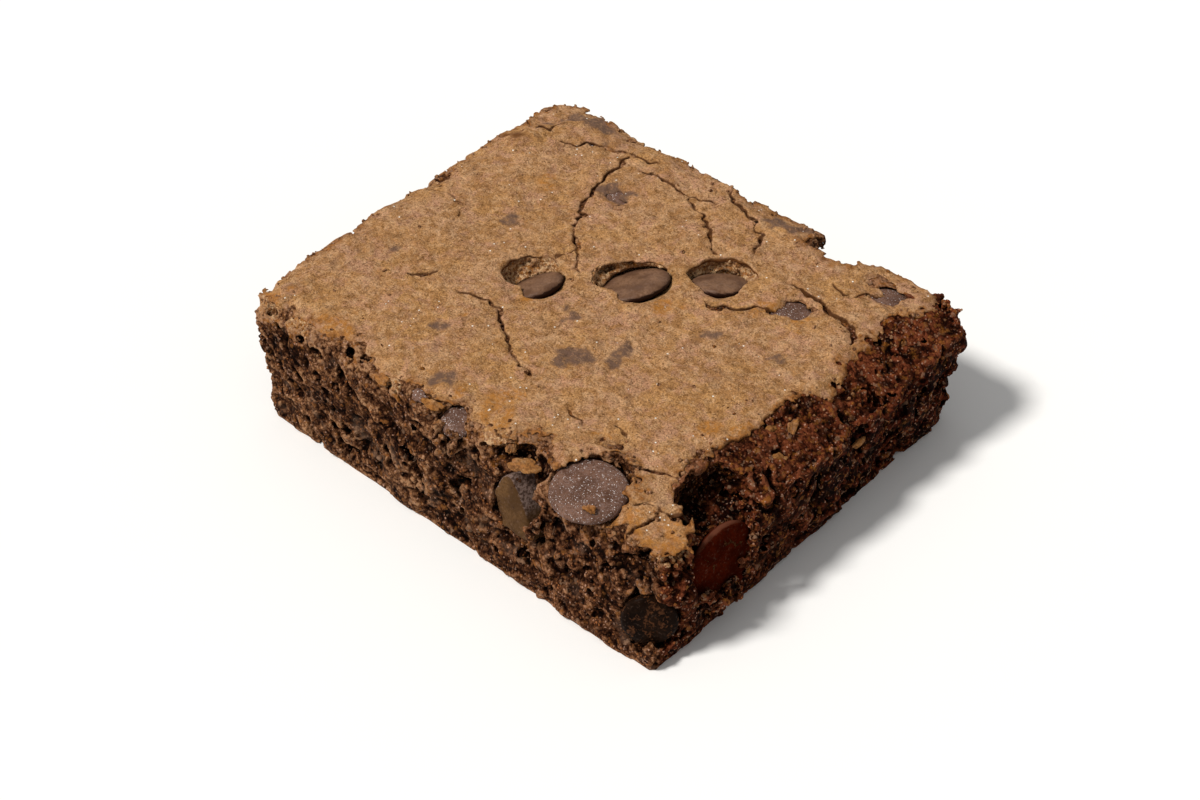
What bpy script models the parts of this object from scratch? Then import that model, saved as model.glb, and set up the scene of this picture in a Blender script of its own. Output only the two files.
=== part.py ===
"""A chocolate chip brownie, cut from a sheet with a knife: one slab of crumb under a thin cracked crust.

The slab stands on its flat base with the crust up. X runs along its longer cut side and Y along the
shorter one. The near corner, where +X and -Y meet, is broken down, and chips lie in pits in the crust,
on the cut sides and under the crust's broken edge. Sizes are in millimetres until they reach a mesh.
"""

import math
from collections import namedtuple

import bmesh
import bpy
from mathutils import Matrix, Vector, noise

MM = 0.001

HEIGHT = 20.6
CELL = 0.85
SLAB_TRIANGLE_SHARE = 0.13
POCKET_GAP = 0.3
POCKET_HEADROOM = 1.1

# Corners in plan, in the order left, front, right, back, seen from the near corner.
BASE_CORNERS = ((-37.2, -33.3), (38.1, -34.4), (37.9, 33.2), (-37.4, 33.0))
RIM_CORNERS = ((-40.6, -32.2), (38.3, -29.6), (39.3, 33.8), (-40.5, 34.1))
CORNER_ROUNDING = (1.8, 1.0, 2.0, 3.4)
BELLY = 0.7

# Each top edge falls away in a shoulder: (width, drop) for -Y, +X, +Y and -X. The +X one fades towards
# the far side, where the crust is whole.
SHOULDER_FADE = 0.66
SHOULDERS = ((3.0, 1.5), (7.0, 3.7), (1.8, 0.6), (1.2, 0.4))

# The broken corner plate tips down beyond this corner of the sound crust.
PLATE_CORNER = (25.0, -21.0)
PLATE_SLOPE = 0.16

CRUST_STEP = 0.8
CRUST_EDGE = (
    (-37.6, -30.4), (-33.1, -31.3), (-26.1, -32.0), (-22.5, -29.9), (-14.7, -32.3), (-9.7, -30.6),
    (-1.8, -29.4), (2.5, -31.0), (6.8, -29.6), (11.7, -26.7), (16.5, -28.6), (18.6, -25.4), (24.7, -24.4),
    (25.6, -32.0), (32.1, -31.4), (38.4, -29.4), (38.2, -26.6), (33.0, -21.4), (30.4, -17.6), (29.2, -14.4),
    (30.8, -9.2), (31.2, -2.2), (34.0, 5.6), (32.4, 13.6), (33.9, 22.0), (32.0, 24.4), (35.8, 29.4),
    (33.0, 31.6), (20.0, 31.9), (17.6, 29.0), (12.4, 30.0), (8.6, 32.0), (-8.0, 32.4), (-31.0, 31.8),
    (-37.6, 26.0), (-38.7, 6.0), (-38.9, -12.0),
)

# Cracks in the crust: widest opening, then the points that each follows.
CRACK_DEPTH = 1.1
CRACK_TOP = 0.6
CRACKS = (
    (0.75, ((-21.8, 29.0), (-20.4, 23.0), (-18.2, 14.6), (-15.8, 10.4), (-13.6, 7.6), (-11.6, 6.2), (-8.4, 3.4))),
    (0.50, ((-12.2, 6.3), (-13.0, 4.2), (-12.6, 2.2))),
    (0.50, ((-7.9, 27.0), (-5.2, 25.5), (-1.6, 23.3), (1.4, 21.1), (4.0, 18.9))),
    (0.60, ((-4.3, 31.6), (-2.4, 30.2), (1.2, 28.9), (3.7, 28.7), (6.4, 25.6), (7.7, 23.7), (8.4, 21.9))),
    (0.60, ((-13.4, -10.2), (-10.6, -10.7), (-8.2, -13.6), (-4.7, -15.3), (-1.5, -16.7), (1.7, -18.0))),
    (0.55, ((-17.6, 26.9), (-13.7, 27.2), (-9.5, 26.8), (-6.0, 27.3), (-3.1, 28.2))),
    (0.55, ((21.7, 21.0), (25.4, 19.2), (28.4, 18.4), (30.6, 16.2))),
    (0.50, ((20.6, 24.6), (22.5, 24.2), (24.8, 23.9), (25.8, 26.4))),
    (0.90, ((21.2, -21.6), (24.4, -22.2), (26.4, -20.6), (29.6, -18.4))),
)

Hollow = namedtuple("Hollow", "name centre radii turn")
HOLLOWS = (
    Hollow("broken_corner_hollow", (36.0, -18.0, 18.0), (6.9, 6.6, 5.0), 8),
    Hollow("edge_hollow", (10.4, -30.4, 17.6), (4.8, 3.6, 2.3), 8),
    Hollow("pit_left", (-14.2, -1.2, 20.6), (4.9, 3.4, 3.4), 56),
    Hollow("pit_middle", (-2.3, 7.2, 20.8), (5.8, 3.6, 3.6), 52),
    Hollow("pit_right", (7.2, 16.4, 20.6), (5.4, 3.7, 3.4), 46),
    Hollow("far_edge_notch", (16.4, 33.4, 19.4), (5.0, 3.4, 4.0), 0),
    Hollow("near_edge_tear", (3.4, -33.6, 16.4), (3.2, 1.9, 2.2), 0),
)

# A chip is a drop with a flat base, here softened by baking. The base faces along the chip's own +Z.
CHIP_RADIUS = 5.2
CHIP_HEIGHT = 5.4
CHIP_RIM = 0.9
CHIP_CROWN = 0.25

# The knife went through one chip: a point of its cut and how far the cut leans back from upright.
KNIFE_CHIP = "chip_cut_side"
KNIFE_POINT = (12.6, -32.5, 12.5)
KNIFE_LEAN = 10

# tilt is how far the base's normal leans from +Z, towards heading, both in degrees. size scales the
# chip's width and depth. detail is its number of sides.
Chip = namedtuple("Chip", "name place tilt heading size detail")
CHIPS = (
    Chip("chip_pit_left", (-12.4, -2.3, 19.3), 30, 176, (0.86, 0.56), 20),
    Chip("chip_pit_middle", (-1.8, 7.2, 19.5), 24, 172, (1.08, 0.56), 20),
    Chip("chip_pit_right", (7.5, 15.6, 19.7), 22, 130, (0.86, 0.52), 20),
    Chip("chip_near_edge", (21.6, -28.2, 19.3), 5, -60, (1.06, 0.66), 22),
    Chip("chip_cut_side", (13.4, -32.0, 12.9), 56, -12, (0.98, 1.16), 20),
    Chip("chip_right_side", (38.4, -20.0, 10.3), 82, -6, (1.14, 0.62), 22),
    Chip("chip_near_corner", (35.8, -32.2, 6.8), 80, -52, (0.78, 0.70), 16),
    Chip("chip_far_corner", (-31.0, 29.4, 19.1), 10, 120, (0.86, 0.60), 16),
    Chip("chip_far_edge", (5.0, 31.6, 18.0), 38, 84, (0.80, 0.60), 16),
    Chip("chip_under_crust", (20.4, 16.6, 19.7), 6, 20, (0.70, 0.56), 16),
    Chip("chip_right_corner", (28.4, 28.2, 19.6), 6, 50, (0.72, 0.56), 16),
    Chip("chip_crust_far", (-16.0, 20.0, 19.8), 4, 0, (0.52, 0.50), 14),
    Chip("chip_left_edge", (-0.9, -29.8, 18.9), 12, -92, (0.52, 0.56), 16),
    Chip("chip_back_side", (-14.0, 33.2, 9.0), 84, 92, (0.96, 0.60), 16),
    Chip("chip_back_corner", (24.6, 32.6, 6.6), 78, 84, (0.84, 0.62), 16),
    Chip("chip_left_side", (-38.2, 6.0, 11.4), 86, 176, (1.00, 0.60), 16),
)

CRUMB_COLOUR = (0.19, 0.085, 0.034)
CHOCOLATE_COLOUR = (0.060, 0.026, 0.018)


def smooth(value):
    """0 to 1 with level ends, from a value clamped to that range."""
    held = min(1.0, max(0.0, value))
    return held * held * (3 - 2 * held)


def lump(x, y, z, size, seed):
    """Noise between about -1 and 1 whose lumps are size millimetres across."""
    return noise.noise(Vector((x, y, z)) / size + Vector((seed, seed * 1.7, seed * 0.6)))


def between(corners, u, v):
    """The point of a four-cornered outline at u along X and v along Y, each from -1 to 1."""
    left, front, right, back = (Vector(corner) for corner in corners)
    near = left.lerp(front, (u + 1) / 2)
    far = back.lerp(right, (u + 1) / 2)
    return near.lerp(far, (v + 1) / 2)


def edge_distance(x, y, outline):
    """How far inside a closed outline a point lies, in millimetres. It is negative outside."""
    point = Vector((x, y))
    nearest = math.inf
    inside = False
    for start, end in zip(outline, outline[1:] + outline[:1]):
        a, b = Vector(start), Vector(end)
        along = b - a
        share = min(1.0, max(0.0, (point - a).dot(along) / along.length_squared))
        nearest = min(nearest, (point - a - along * share).length)
        if (a.y > y) != (b.y > y) and x < a.x + (y - a.y) * along.x / along.y:
            inside = not inside
    return nearest if inside else -nearest


def crust_share(x, y):
    """1 where the crust is sound, 0 where it has flaked off its ragged edge."""
    ragged = 1.1 * lump(x, y, 0, 3.2, 11) + 0.5 * lump(x, y, 0, 1.5, 23)
    return smooth((edge_distance(x, y, CRUST_EDGE) + ragged) / CELL + 0.5)


def shoulder_drop(u, v, size_x, size_y):
    """How far the top has fallen towards its nearest edges."""
    ways = ((v + 1) * size_y, (1 - u) * size_x, (1 - v) * size_y, (u + 1) * size_x)
    fades = (1, 1 - SHOULDER_FADE * smooth((v - 0.2) / 0.8), 1, 1)
    drop = 0.0
    for way, (width, depth), fade in zip(ways, SHOULDERS, fades):
        drop += fade * depth * (1 - smooth(way / width)) ** 1.5
    return drop


def plate_drop(x, y):
    """How far the broken plate at the near corner has tipped down."""
    beyond = max(0.0, x - PLATE_CORNER[0]) + max(0.0, PLATE_CORNER[1] - y)
    reach = smooth((x - PLATE_CORNER[0] + 4) / 6) * smooth((PLATE_CORNER[1] + 4 - y) / 6)
    return PLATE_SLOPE * beyond * reach


def crust_level(x, y):
    """The height of sound crust over a point of the plan, before its shoulders."""
    swell = 0.34 * lump(x, y, 0, 15, 3) + 0.14 * lump(x, y, 0, 6, 5)
    return HEIGHT - plate_drop(x, y) + swell


def crumb_relief(x, y, z):
    """How far torn crumb stands out from its plane: broad lumps, crags, and open pores."""
    broad = 0.55 * lump(x, y, z, 11, 31)
    crags = 0.75 * lump(x, y, z, 4.2, 37) + 0.40 * lump(x, y, z, 2.0, 41)
    nearest = noise.voronoi(Vector((x, y, z)) / 3.4)[0][0]
    pore = -1.1 * (1 - smooth(nearest / 0.42))
    return broad + crags + pore


def top_point(u, v):
    """A point of the top, from its place in the grid."""
    plan = between(RIM_CORNERS, u, v)
    size_x = (RIM_CORNERS[1][0] - RIM_CORNERS[0][0]) / 2
    size_y = (RIM_CORNERS[3][1] - RIM_CORNERS[0][1]) / 2
    x, y = plan
    drop = shoulder_drop(u, v, size_x, size_y)
    bare = 1 - crust_share(x, y)
    rough = 0.6 * crumb_relief(x, y, HEIGHT)
    return Vector((x, y, crust_level(x, y) - drop - bare * (CRUST_STEP - rough)))


def side_point(u, v, share):
    """A point of the cut side, share of the way up from the base to the rim."""
    rim = top_point(u, v)
    foot = between(BASE_CORNERS, u, v)
    plan = foot.lerp(rim.xy, share)
    height = share * rim.z
    out = Vector((math.copysign(abs(u) ** 9, u), math.copysign(abs(v) ** 9, v)))
    out.normalize()
    calm = smooth(height / 1.2) * smooth((1 - share) * 14)
    bulge = BELLY * math.sin(math.pi * share)
    plan += out * (bulge + calm * crumb_relief(plan.x, plan.y, height))
    return Vector((plan.x, plan.y, height))


def round_upright_edge(point, u, v):
    """Pulls a point near an upright edge inwards, so that the cut corners are rounded."""
    corner = (0 if v < 0 else 3) if u < 0 else (1 if v < 0 else 2)
    size_x = RIM_CORNERS[1][0]
    near_x = max(0.0, 1 - (1 - abs(u)) * size_x / CORNER_ROUNDING[corner])
    near_y = max(0.0, 1 - (1 - abs(v)) * RIM_CORNERS[3][1] / CORNER_ROUNDING[corner])
    pull = 0.45 * CORNER_ROUNDING[corner] * near_x * near_y
    return point - Vector((math.copysign(pull, u), math.copysign(pull, v), 0))


def make_object(name, mesh, material):
    made = bpy.data.objects.new(name, mesh)
    bpy.context.scene.collection.objects.link(made)
    made.data.materials.append(material)
    return made


def mesh_of(name, bm):
    bmesh.ops.recalc_face_normals(bm, faces=bm.faces)
    bm.transform(Matrix.Scale(MM, 4))
    mesh = bpy.data.meshes.new(name)
    bm.to_mesh(mesh)
    bm.free()
    return mesh


def boundary_loop(across, along):
    """The places round the edge of a grid, counter-clockwise."""
    near = [(i, 0) for i in range(across)]
    right = [(across, j) for j in range(along)]
    far = [(i, along) for i in range(across, 0, -1)]
    left = [(0, j) for j in range(along, 0, -1)]
    return near + right + far + left


def slab_mesh():
    """The slab as a grid over its top and sides, closed by one flat face underneath."""
    across = round((RIM_CORNERS[1][0] - RIM_CORNERS[0][0]) / CELL)
    along = round((RIM_CORNERS[3][1] - RIM_CORNERS[0][1]) / CELL)
    levels = round(HEIGHT / CELL)
    bm = bmesh.new()

    def grid_place(i, j):
        return 2 * i / across - 1, 2 * j / along - 1

    def corner(i, j, point):
        return bm.verts.new(round_upright_edge(point, *grid_place(i, j)))

    top = {}
    for i in range(across + 1):
        for j in range(along + 1):
            top[i, j] = corner(i, j, top_point(*grid_place(i, j)))
    for i in range(across):
        for j in range(along):
            bm.faces.new((top[i, j], top[i + 1, j], top[i + 1, j + 1], top[i, j + 1]))
    loop = boundary_loop(across, along)
    upper = [top[place] for place in loop]
    for level in range(levels - 1, -1, -1):
        share = level / levels
        lower = [corner(*place, side_point(*grid_place(*place), share)) for place in loop]
        for n in range(len(loop)):
            after = (n + 1) % len(loop)
            bm.faces.new((upper[n], lower[n], lower[after], upper[after]))
        upper = lower
    bm.faces.new(upper)
    return mesh_of("brownie", bm)


def chip_profile(radius, depth, gap, headroom):
    """A chip from the middle of its base, over the rim and down to its tip, gap larger all round."""
    rim_turns = 2
    side_turns = 3
    points = [(0.55 * radius, CHIP_CROWN * 0.7 + headroom)]
    for n in range(rim_turns + 1):
        angle = math.pi / 2 * (1 - n / rim_turns)
        points.append(
            (
                radius - CHIP_RIM + (CHIP_RIM + gap) * math.cos(angle),
                -CHIP_RIM + (CHIP_RIM + gap) * math.sin(angle),
            )
        )
    for n in range(1, side_turns):
        share = n / side_turns
        points.append(
            (
                (radius + gap) * (1 - share**1.7) ** 0.8,
                -CHIP_RIM - (depth - CHIP_RIM + gap) * share,
            )
        )
    return points


def chip_mesh(chip, gap=0.0, headroom=0.0):
    """One chip, turned round its own axis and slightly out of round. With a gap it is the chip's pocket."""
    radius = CHIP_RADIUS * chip.size[0]
    depth = CHIP_HEIGHT * chip.size[1]
    seed = len(chip.name) + 3 * chip.place[0]
    bm = bmesh.new()
    rings = []
    for r, z in chip_profile(radius, depth, gap, headroom):
        ring = []
        for n in range(chip.detail):
            angle = 2 * math.pi * n / chip.detail
            wobble = 1 + 0.07 * lump(math.cos(angle), math.sin(angle), z / 6, 1.1, seed)
            ring.append(bm.verts.new((r * wobble * math.cos(angle), r * wobble * math.sin(angle), z)))
        rings.append(ring)
    base = bm.verts.new((0, 0, CHIP_CROWN + headroom))
    tip = bm.verts.new((0, 0, -depth - gap))
    for n in range(chip.detail):
        after = (n + 1) % chip.detail
        bm.faces.new((base, rings[0][n], rings[0][after]))
        for upper, lower in zip(rings, rings[1:]):
            bm.faces.new((upper[n], lower[n], lower[after], upper[after]))
        bm.faces.new((rings[-1][n], tip, rings[-1][after]))
    return mesh_of(chip.name, bm)


def knife_cut(mesh, matrix):
    """Cuts away the part of a placed chip that lies outside the knife's plane, on the -Y side."""
    lean = math.radians(KNIFE_LEAN)
    outward = Vector((0, -math.cos(lean), math.sin(lean)))
    bm = bmesh.new()
    bm.from_mesh(mesh)
    inward = matrix.inverted()
    found = bmesh.ops.bisect_plane(
        bm,
        geom=bm.verts[:] + bm.edges[:] + bm.faces[:],
        plane_co=inward @ (Vector(KNIFE_POINT) * MM),
        plane_no=inward.to_3x3() @ outward,
        clear_outer=True,
        dist=1e-6,
    )
    edges = [item for item in found["geom_cut"] if isinstance(item, bmesh.types.BMEdge)]
    bmesh.ops.triangle_fill(bm, edges=edges, use_beauty=True)
    bmesh.ops.recalc_face_normals(bm, faces=bm.faces)
    bm.to_mesh(mesh)
    bm.free()


def place_chip(obj, chip):
    """Leans a chip towards its heading and sets it in its place."""
    lean = Matrix.Rotation(math.radians(chip.tilt), 4, "Y")
    turn = Matrix.Rotation(math.radians(chip.heading), 4, "Z")
    obj.rotation_euler = (turn @ lean).to_euler()
    obj.location = Vector(chip.place) * MM


def hollow_mesh(hollow):
    """A lumpy ball that leaves a torn hollow where it cuts."""
    bm = bmesh.new()
    bmesh.ops.create_icosphere(bm, subdivisions=3, radius=1.0)
    turn = Matrix.Rotation(math.radians(hollow.turn), 3, "Z")
    for vert in bm.verts:
        lumpy = 1 + 0.22 * lump(*vert.co, 0.55, hollow.centre[0])
        vert.co = turn @ (Vector(hollow.radii) * vert.co * lumpy) + Vector(hollow.centre)
    return mesh_of(hollow.name, bm)


def crack_mesh(name, width, route):
    """A wedge along a crack: wide above the crust, sharp at its floor, and closed at both ends."""
    points = [Vector(place) for place in route]
    steps = []
    for start, end in zip(points, points[1:]):
        aside = (end - start).orthogonal().normalized()
        middle = start.lerp(end, 0.5) + aside * 0.35 * lump(*start, 0, 1.3, 7)
        steps += [start, middle]
    steps.append(points[-1])
    bm = bmesh.new()
    sections = []
    for n, step in enumerate(steps):
        before, after = steps[max(0, n - 1)], steps[min(len(steps) - 1, n + 1)]
        aside = (after - before).orthogonal().normalized()
        open_share = 0.25 + 0.75 * math.sin(math.pi * (n + 0.5) / len(steps)) ** 0.5
        half = width * open_share * (0.8 + 0.4 * noise.random()) / 2 * (1 + CRACK_TOP / CRACK_DEPTH)
        level = crust_level(*step)
        sections.append(
            (
                bm.verts.new((*(step + aside * half), level + CRACK_TOP)),
                bm.verts.new((*step, level - CRACK_DEPTH * open_share)),
                bm.verts.new((*(step - aside * half), level + CRACK_TOP)),
            )
        )
    for one, two in zip(sections, sections[1:]):
        for n in range(3):
            after = (n + 1) % 3
            bm.faces.new((one[n], two[n], two[after], one[after]))
    bm.faces.new(sections[0])
    bm.faces.new(sections[-1])
    bmesh.ops.triangulate(bm, faces=bm.faces)
    return mesh_of(name, bm)


def make_material(name, colour, roughness):
    material = bpy.data.materials.new(name)
    material.use_nodes = True
    shader = material.node_tree.nodes["Principled BSDF"]
    shader.inputs["Base Color"].default_value = (*colour, 1)
    shader.inputs["Roughness"].default_value = roughness
    shader.inputs["Metallic"].default_value = 0
    return material


def make_cutters(material):
    """Everything that is cut from the slab, in a collection of its own that isn't rendered."""
    collection = bpy.data.collections.new("cutters")
    bpy.context.scene.collection.children.link(collection)
    meshes = [(hollow_mesh(hollow), None) for hollow in HOLLOWS]
    meshes += [(crack_mesh(f"crack_{n}", *crack), None) for n, crack in enumerate(CRACKS)]
    meshes += [(chip_mesh(chip, POCKET_GAP, POCKET_HEADROOM), chip) for chip in CHIPS]
    for mesh, chip in meshes:
        cutter = make_object(f"cut_{mesh.name}", mesh, material)
        if chip:
            place_chip(cutter, chip)
        cutter.hide_render = True
        cutter.display_type = "WIRE"
        bpy.context.scene.collection.objects.unlink(cutter)
        collection.objects.link(cutter)
    return collection


def make_slab(material, cutters):
    slab = make_object("brownie", slab_mesh(), material)
    thin = slab.modifiers.new("thin_out", "DECIMATE")
    thin.ratio = SLAB_TRIANGLE_SHARE
    cut = slab.modifiers.new("cut", "BOOLEAN")
    cut.operation = "DIFFERENCE"
    cut.operand_type = "COLLECTION"
    cut.collection = cutters
    cut.solver = "EXACT"
    return slab


def make_chips(material):
    chips = []
    for chip in CHIPS:
        obj = make_object(chip.name, chip_mesh(chip), material)
        obj.data.shade_smooth()
        place_chip(obj, chip)
        if chip.name == KNIFE_CHIP:
            knife_cut(obj.data, obj.matrix_basis)
        chips.append(obj)
    return chips


def centre_on_base(objects, root):
    """Moves the whole so that the origin is under the middle of its box, on the base."""
    bpy.context.view_layer.update()
    graph = bpy.context.evaluated_depsgraph_get()
    corners = []
    for obj in objects:
        shown = obj.evaluated_get(graph)
        corners += [shown.matrix_world @ vert.co for vert in shown.data.vertices]
    low = Vector([min(corner[n] for corner in corners) for n in range(3)])
    high = Vector([max(corner[n] for corner in corners) for n in range(3)])
    root.location = (-(low.x + high.x) / 2, -(low.y + high.y) / 2, -low.z)


def main():
    for obj in list(bpy.data.objects):
        bpy.data.objects.remove(obj)
    noise.seed_set(7)
    crumb = make_material("crumb", CRUMB_COLOUR, 0.85)
    chocolate = make_material("chocolate", CHOCOLATE_COLOUR, 0.45)
    cutters = make_cutters(crumb)
    slab = make_slab(crumb, cutters)
    chips = make_chips(chocolate)
    root = bpy.data.objects.new("brownie_root", None)
    bpy.context.scene.collection.objects.link(root)
    for obj in [slab, *chips, *cutters.objects]:
        obj.parent = root
    centre_on_base([slab, *chips], root)


main()
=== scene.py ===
"""How the brownie looks: torn crumb and a thin cracked crust, carved as fine volumes from the CAD slab.

The CAD chips are shown as they are, in chocolate. The slab is replaced by the crumb, in four quarters,
the crust over it, flakes, shards and loose crumbs. Lengths are in millimetres until they reach a mesh
or a shader. The volumes are signed distances on a grid, negative inside, so a cut is a maximum and a
join is a minimum.
"""

import math
from collections import namedtuple
from functools import partial, reduce

import bmesh
import bpy
import numpy as np
import openvdb as vdb
from mathutils import Matrix, Vector


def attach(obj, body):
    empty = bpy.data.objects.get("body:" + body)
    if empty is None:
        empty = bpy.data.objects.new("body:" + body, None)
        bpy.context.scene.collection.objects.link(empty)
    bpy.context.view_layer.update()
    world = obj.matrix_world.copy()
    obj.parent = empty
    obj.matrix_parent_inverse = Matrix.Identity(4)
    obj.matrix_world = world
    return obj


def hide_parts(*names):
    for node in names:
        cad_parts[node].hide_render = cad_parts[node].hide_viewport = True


MM = 0.001

CRUMB_VOXEL = 0.22
CRUST_VOXEL = 0.21
BAND_VOXELS = 12
CRUMB_TRIANGLES = 150_000
CRUST_TRIANGLES = 190_000
SEAM_OVERLAP = 0.4
CRUMB_SCRAP = 4000
CRUST_SCRAP = 300

# Above this height a surface is the top's. FAR stands for a distance past any that counts.
TOP_FROM = 15
FAR = 9.0

# Where the origin of the plans below lies in the frame.
PLAN_SHIFT = np.array((0.58, -0.01))

CRUST_THICKNESS = 0.7
CRUST_SINK = 0.45
EDGE_SINK = 0.15
CRUST_OUTLINE = (
    (-39, -31), (-37.6, -30.2), (-36.4, -31.4), (-33.1, -31.5), (-30.4, -31.9), (-26.1, -32.2),
    (-24, -31), (-22.5, -29.9), (-18.4, -31.4), (-14.7, -32.5), (-12, -31.2), (-9.7, -30.7),
    (-6.4, -30.9), (-1.8, -29.4), (0.4, -30.6), (2.5, -31.1), (5.6, -32.2), (6.8, -30.4), (7.7, -28.2),
    (11.7, -26.7), (14, -27.6), (16.5, -29), (18, -27.6), (18.6, -25.4), (21, -22.2), (24.2, -22.8),
    (25.4, -24.8), (25.8, -31.2), (27.4, -30.8), (28.8, -32.2), (30.6, -31.6), (32, -32.2), (33.6, -31.2),
    (35.2, -31.8), (36.6, -30.6), (38, -30.4), (37.8, -28.6), (39, -27), (38.4, -25.2), (36, -23.4),
    (32, -21.2), (29.4, -19.6), (28.9, -16.8), (29.2, -14.4), (30.6, -12.2), (30.4, -9.2), (31.3, -6.4),
    (31, -2.2), (32.4, 0.8), (32.2, 2.9), (34.5, 6.6), (33, 10.2), (32.4, 13.6), (33.4, 16.2),
    (32.8, 18.4), (34.1, 22.2), (32, 24.4), (34.2, 26), (35.8, 29.2), (35.4, 31.2), (33.4, 33.2),
    (28, 34.9), (23.4, 34.2), (21.4, 33.2), (19.6, 31.4), (16.8, 29.8), (12.6, 30.8), (10.6, 33.6),
    (8, 34.8), (2, 34.9), (-3, 34.1), (-8, 35), (-14, 34.4), (-20, 35.2), (-31, 35.2), (-36.4, 35),
    (-39.6, 33.8), (-41.4, 30), (-41.6, 16), (-40.7, 9), (-41.6, 4), (-41.6, -8), (-40.8, -14),
    (-41.5, -22), (-41, -27.4), (-40, -30.4),
)

# The cracks, as (share of the full width, route). A route turns aside at every step, up to the sway.
CRACK_WIDTH = 0.72
CRACK_STEP = 1.3
CRACK_SWAY = 0.5
CRACKS = (
    (0.8, ((-21.5, 28.6), (-20.8, 23.6), (-19.8, 18.5), (-18.4, 14.7), (-16.6, 13.2), (-15.7, 9.8))),
    (0.7, ((-15.7, 9.8), (-13.8, 7.8), (-11.9, 6.4))),
    (0.45, ((-11.9, 6.4), (-13.1, 4), (-12.7, 1.9))),
    (0.5, ((-11.9, 6.4), (-9.9, 4.4), (-8.2, 3))),
    (0.6, ((-8, 27.3), (-5.2, 25.6), (-1.6, 23.4), (1.4, 21.2), (4, 19))),
    (0.6, ((-4.3, 33), (-2.4, 30.7), (1.2, 29.1), (3.7, 29), (6.4, 25.7), (7.8, 23.8), (8.4, 22))),
    (0.5, ((-18.7, -12.1), (-16.4, -11.4), (-13.5, -10.3), (-10.7, -10.8), (-7.9, -13.9))),
    (0.45, ((-7.9, -13.9), (-4.7, -15.4), (-1.5, -16.8), (1.7, -18.1))),
    (0.45, ((-17.7, 27), (-13.7, 27.1), (-9.5, 26.9), (-6.1, 27.4), (-3.1, 28.4))),
    (0.9, ((16.3, 20.9), (18, 20.9), (21, 20.6), (21.8, 21.2), (25.5, 19.4), (28.5, 18.5), (31, 16.4))),
    (0.85, ((20.8, 24.8), (22.6, 24.3), (25, 24), (25.7, 26.8), (29.8, 27.6))),
    (0.35, ((9.5, -19.2), (10.9, -19.8), (13.5, -20.9))),
    (0.35, ((16.6, -18.1), (18.6, -18.2), (20.1, -18.4))),
    (0.85, ((8.8, 9.6), (11.5, 9.7), (13.9, 11.3), (16.3, 13.9), (19, 15.1))),
    (0.8, ((18.6, -25.4), (21, -22.3), (24, -22.5), (26.6, -20.9), (29.8, -19.2))),
    (0.8, ((28.4, -26.6), (30.6, -25.2), (32.8, -25.4), (35.4, -23.4))),
    (0.6, ((31.2, -25.4), (31.9, -28), (31, -30), (31.6, -32))),
    (0.55, ((-36.8, 24.4), (-34.6, 25.6), (-33.9, 28.4))),
    (0.7, ((-31.6, 24), (-29.4, 25.2), (-27.2, 27.6), (-24.4, 28.4))),
    (0.4, ((-24.4, 28.4), (-20.6, 29.4), (-16.2, 30.4))),
    (0.35, ((-26, -14.2), (-24.4, -12.6), (-23.6, -10.4))),
    (0.35, ((-38.4, 3), (-34.8, 3.6), (-31.8, 2.8), (-30.4, 0.4))),
)

# Marks in the crust: their place in plan and how far they reach. The glints are painted highlights of
# sugar.
STAINS = (
    (-15.2, -19.1, 1.7), (-6.8, -27, 1.5), (4, -10.5, 1.6), (8.1, -6.8, 1.8), (2.6, -13.1, 1.2),
    (-16.1, 20.1, 2), (-24.4, 4.6, 1), (14.8, 4.6, 0.9), (6.4, 31.4, 1.8), (9, 31.2, 1.6),
    (-3.6, -5.4, 1.1), (-31, -11, 0.8), (24.6, 6.2, 0.9), (-33.6, 31, 2), (-31.2, 31.8, 2.4),
    (-28.8, 31.8, 2), (-36, 26.2, 0.8),
)
AMBERS = (
    (2.1, -24.5, 2.3), (-4.6, -27.6, 1.4), (26.4, -9.8, 1.8), (29.6, -7.1, 1.2), (31.9, 0, 1.5),
    (-10, -7.4, 1.4), (5.6, 4.4, 1.6), (35.6, -29.6, 3), (29.4, -31.2, 2.6), (32.6, -30.6, 2),
    (-37.4, -29.4, 2), (-26.6, -29.8, 2.4), (17.2, -20.4, 1), (-25.6, 15.4, 1.4), (32.6, 12, 1.6),
    (-14, -14, 1), (26.4, -31, 1.8), (37, -26.6, 1.2), (3.9, -28, 1.1), (17.4, 14, 1.8),
    (22.8, 14.8, 1.2), (37, -31.2, 1.8), (33, -32.2, 1.6),
)
GLINTS = (
    (27.4, -12.6, 1.7), (30.6, -27.4, 2.6), (33, -24.6, 1.3), (15.6, -21.6, 2.2), (9, -23.4, 2),
    (-3, -24.6, 1.8), (12.8, 14.2, 1.2), (-24, -21, 1.6),
)

# Chips that the crust all but covers: their place in plan, how far the crust is raised round them, and
# how much of each shows through a ragged opening, where below 0 none of it does.
COVERED = {
    "chip_under_crust": (20.4, 16.6, 5.4, 2.2), "chip_crust_far": (-16, 20, 4.4, 1.3),
    "chip_far_corner": (-31.4, 30.2, 6.6, -6), "chip_right_corner": (28.4, 28.2, 5.4, 2.5),
    "chip_left_edge": (-0.9, -31.4, 3.6, 1.7),
}
COVER_RISE = 0.12

# A plate of crust that hangs over the broken corner, and how far it reaches. Its height at its inner
# end, where that is in plan, and how much it falls for each millimetre towards the corner.
HANGING = (36.2, -28.4, 6.4)
HANGING_TOP = 19.7
HANGING_START = (31, -25)
HANGING_FALL = 0.14
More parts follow.
